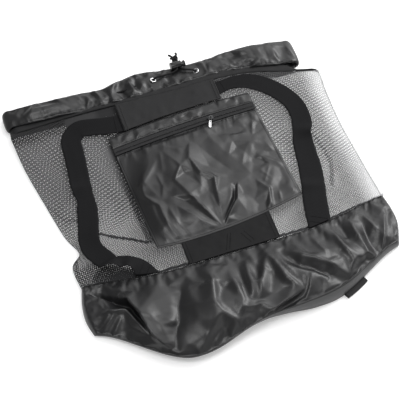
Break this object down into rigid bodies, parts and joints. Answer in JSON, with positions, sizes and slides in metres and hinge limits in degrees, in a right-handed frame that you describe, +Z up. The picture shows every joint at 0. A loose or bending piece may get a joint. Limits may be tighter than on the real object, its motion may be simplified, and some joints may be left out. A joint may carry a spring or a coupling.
{
  "type": "drawstring mesh ball bag",
  "caption": "Black drawstring ball bag of net and coated cloth, lying flat, with a zipped front pocket, webbing carrying straps and a cord lock at the mouth.",
  "frame": {"origin": "middle of the bag's outline, on the surface it lies on, without the drawcord", "axes": "+X along the mouth to the right, +Y from the base towards the mouth, +Z up from the surface"},
  "size_m": [0.6404, 0.6416, 0.0556],
  "materials": {
    "taffeta": "smooth coated weave with a soft sheen",
    "binding": "matt weave",
    "net": "open knitted net",
    "webbing": "matt woven webbing",
    "zip_tape": "matt tape with a nylon coil",
    "cord": "braided cord",
    "plastic": "moulded, slightly glossy",
    "metal": "bright plating"
  },
  "bodies": {
    "bag": {"collar": "taffeta", "seam_tape": "binding", "mesh_body": "net", "base": "taffeta", "upper_yoke": "binding", "lower_yoke": "binding", "pocket_header": "taffeta", "pocket_front": "taffeta", "zip_tape": "zip_tape", "zip_slider": "metal", "strap_left": "webbing", "strap_right": "webbing", "eyelet_left": "metal", "eyelet_right": "metal", "drawcord_left": "cord", "drawcord_right": "cord", "drawcord_run": "cord", "cord_lock_barrel": "plastic", "cord_knot": "cord", "base_tab": "webbing"},
    "pull": {"zip_pull": "metal"},
    "button": {"cord_lock_button": "plastic"}
  },
  "joints": [
    {"name": "zip_pull_swing", "type": "hinge", "parent": "bag", "child": "pull", "pos_m": [0.0627, 0.16343, 0.03341], "axis": [-0.9397, 0.342, 0], "range_deg": [0, 150]},
    {"name": "lock_button_press", "type": "slide", "parent": "bag", "child": "button", "axis": [-1, 0, 0], "range_m": [0, 0.0035], "stiffness_N_per_m": 400}
  ]
}
